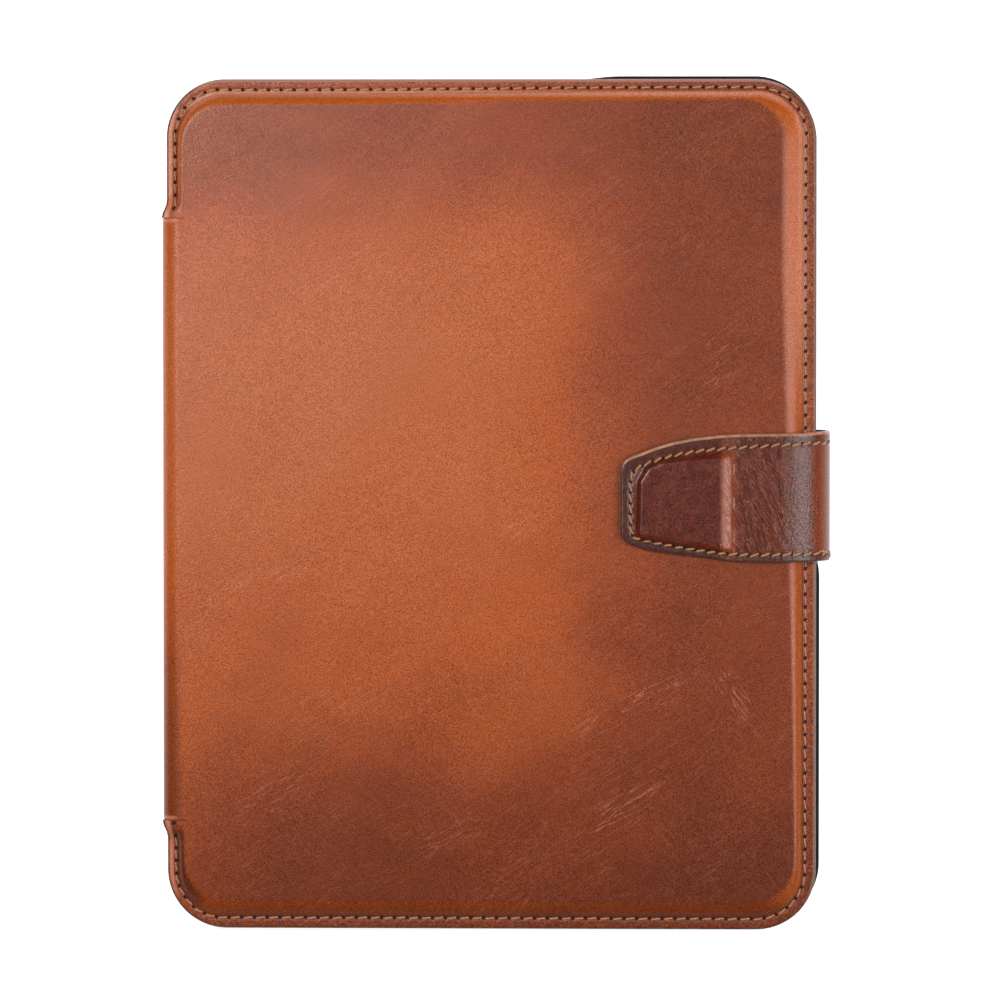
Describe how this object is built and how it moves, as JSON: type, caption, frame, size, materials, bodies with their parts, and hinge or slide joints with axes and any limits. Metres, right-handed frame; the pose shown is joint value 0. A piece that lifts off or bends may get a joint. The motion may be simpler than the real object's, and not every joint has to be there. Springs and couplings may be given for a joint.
{
  "type": "e-reader in a folio cover",
  "caption": "E-reader snapped into a closed leather folio cover with a raised padded front, stitched edges, a wrap-around spine and a magnetic strap over the open side.",
  "frame": {"origin": "middle of the outer box, on the surface that the closed folio lies on", "axes": "+X from the spine to the strap, +Y towards the top edge, +Z out of the front cover"},
  "size_m": [0.1458, 0.1864, 0.0195],
  "materials": {
    "tan_leather": "burnished smooth leather, waxed",
    "strap_leather": "dark glossy creased leather",
    "lining": "short-napped microfibre",
    "board": "grey board",
    "foam": "closed-cell foam",
    "thread": "waxed thread",
    "tray": "matte soft plastic",
    "shell": "fine satin texture",
    "panel": "paper-like display surface",
    "clear_plastic": "clear moulded plastic and film",
    "lens": "etched cover glass",
    "seal": "adhesive gasket",
    "metal": "stamped plate",
    "light_metal": "die-cast plate",
    "cell": "laminated pouch",
    "circuit": "solder mask on glass laminate",
    "copper_flex": "copper on amber film",
    "chip": "moulded package",
    "glue": "double-sided adhesive",
    "plug": "moulded plug and flat lead",
    "magnet": "nickel-plated magnet"
  },
  "bodies": {
    "back": {"back_leather": "tan_leather", "back_board": "board", "back_lining": "lining", "back_thread": "thread", "reader_tray": "tray", "reader_back_shell": "shell", "reader_midframe": "light_metal", "eink_panel": "panel", "front_light_guide": "clear_plastic", "touch_film": "clear_plastic", "cover_lens": "lens", "lens_seal": "seal", "battery": "cell", "battery_adhesive": "glue", "battery_connector": "plug", "main_board": "circuit", "processor_shield": "metal", "usb_port": "metal", "power_switch": "metal", "led_strip": "copper_flex", "display_flex": "copper_flex", "antenna": "copper_flex", "hall_sensor": "chip", "board_screws": "metal", "midframe_screws": "metal", "strap_tail": "strap_leather"},
    "spine": {"spine_leather": "tan_leather", "spine_board": "board", "spine_lining": "lining", "spine_back_fold": "tan_leather", "spine_front_fold": "tan_leather"},
    "front_cover": {"front_leather": "tan_leather", "front_board": "board", "front_padding": "foam", "front_lining": "lining", "front_thread": "thread", "sleep_magnet": "magnet", "keeper_plate": "metal"},
    "strap_side": {"strap_lower_fold": "strap_leather", "strap_side_leather": "strap_leather", "strap_side_lining": "lining", "strap_upper_fold": "strap_leather"},
    "strap_tip": {"strap_tip_leather": "strap_leather", "strap_tip_lining": "lining", "strap_magnet": "magnet", "strap_thread": "thread"},
    "power_button": {"power_button": "shell"}
  },
  "joints": [
    {"name": "spine_fold", "type": "hinge", "parent": "back", "child": "spine", "pos_m": [-0.07211, -0.0036, 0.00079], "axis": [0, -1, 0], "range_deg": [0, 90], "deforming": ["spine_back_fold"]},
    {"name": "cover_fold", "type": "hinge", "parent": "spine", "child": "front_cover", "pos_m": [-0.07211, -0.0036, 0.01581], "axis": [0, -1, 0], "range_deg": [0, 90], "deforming": ["spine_front_fold"]},
    {"name": "strap_side_fold", "type": "hinge", "parent": "back", "child": "strap_side", "pos_m": [0.07204, 0.0013, 0.00236], "axis": [0, 1, 0], "range_deg": [0, 90], "deforming": ["strap_lower_fold"]},
    {"name": "strap_tip_fold", "type": "hinge", "parent": "strap_side", "child": "strap_tip", "pos_m": [0.07204, 0.0013, 0.01754], "axis": [0, 1, 0], "range_deg": [0, 90], "deforming": ["strap_upper_fold"]},
    {"name": "power_button_press", "type": "slide", "parent": "back", "child": "power_button", "axis": [0, 1, 0], "range_m": [0, 0.0003], "stiffness_N_per_m": 1200}
  ]
}
